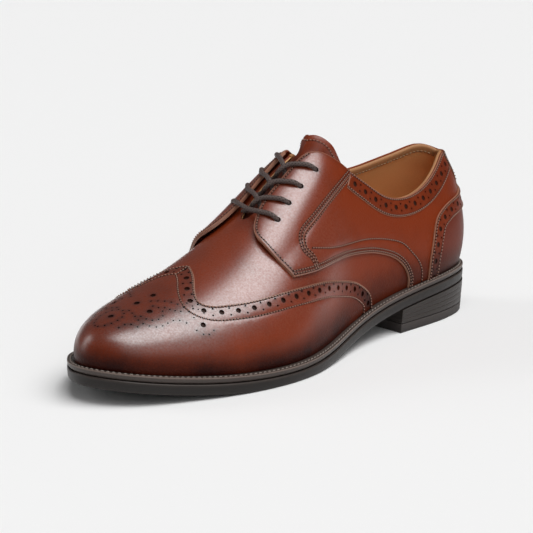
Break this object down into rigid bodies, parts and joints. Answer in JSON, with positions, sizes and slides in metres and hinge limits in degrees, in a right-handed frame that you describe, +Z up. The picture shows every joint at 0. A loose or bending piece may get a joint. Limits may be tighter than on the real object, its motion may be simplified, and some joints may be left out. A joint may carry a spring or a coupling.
{
  "type": "brogue shoe",
  "caption": "Left men's derby shoe with open lacing, wing-shaped toe cap, heel counter, welted sole and stacked heel, open at the collar to take a foot.",
  "frame": {"origin": "centre of the shoe's box, on the floor plane it stands on", "axes": "+X towards the toe, +Y towards the outer side of the left foot, +Z up"},
  "size_m": [0.3056, 0.1082, 0.116],
  "materials": {
    "cognac_leather": "burnished, glossy",
    "dark_leather": "burnished, glossy",
    "tan_lining": "smooth, matte",
    "sole_edge": "waxed edge",
    "black_rubber": "matte",
    "waxed_cord": "waxed"
  },
  "bodies": {
    "root": {"upper": "cognac_leather", "wing_cap": "cognac_leather", "quarter_lateral": "cognac_leather", "quarter_medial": "cognac_leather", "heel_counter": "dark_leather", "tongue": "dark_leather", "insole": "tan_lining", "welt": "sole_edge", "outsole": "sole_edge", "heel_stack": "sole_edge", "top_lift": "black_rubber", "lace_bar": "waxed_cord", "lace_cross_2": "waxed_cord", "lace_cross_3": "waxed_cord", "lace_cross_4": "waxed_cord"}
  },
  "joints": []
}
